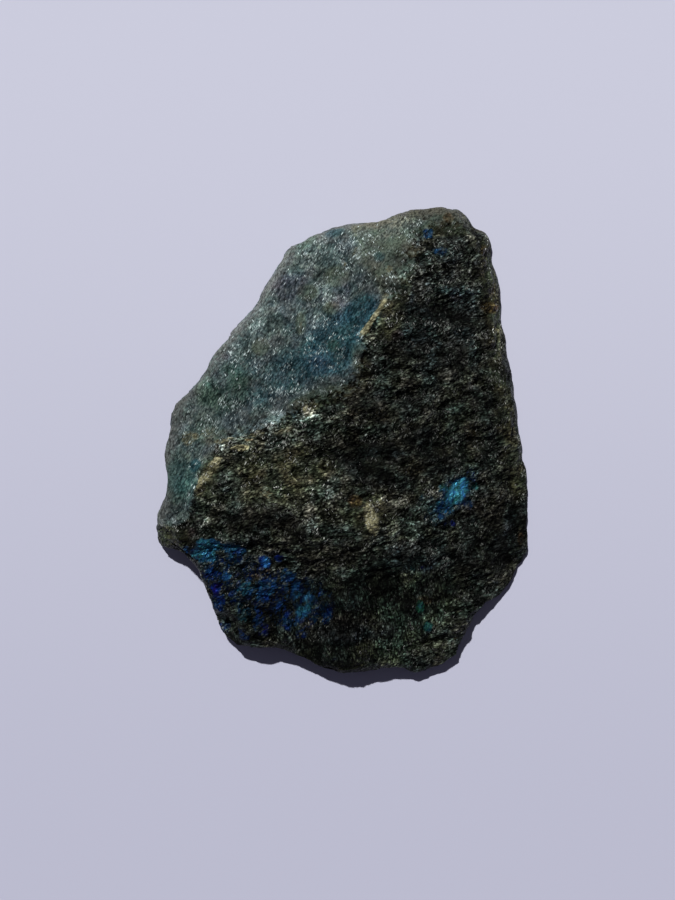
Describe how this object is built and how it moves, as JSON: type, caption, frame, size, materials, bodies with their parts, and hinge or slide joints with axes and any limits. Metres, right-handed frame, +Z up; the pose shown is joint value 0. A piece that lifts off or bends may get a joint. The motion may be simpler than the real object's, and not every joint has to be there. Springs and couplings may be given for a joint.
{
  "type": "rough labradorite chunk",
  "caption": "Rough broken wedge of labradorite feldspar with a pale cleavage face, dark granular faces and blue flashes, lying on a flat cleavage face.",
  "frame": {"origin": "on the flat cleavage face that the stone rests on, under the middle of its bounding box", "axes": "+Z up out of the resting face, +Y along the stone's length towards its narrow end, +X across it towards its thin edge"},
  "size_m": [0.0802, 0.1002, 0.0166],
  "materials": {
    "labradorite": "rough broken feldspar, dark olive to grey-teal, with glassy cleavage grains and blue flash patches"
  },
  "bodies": {
    "root": {"labradorite_chunk": "labradorite"}
  },
  "joints": []
}
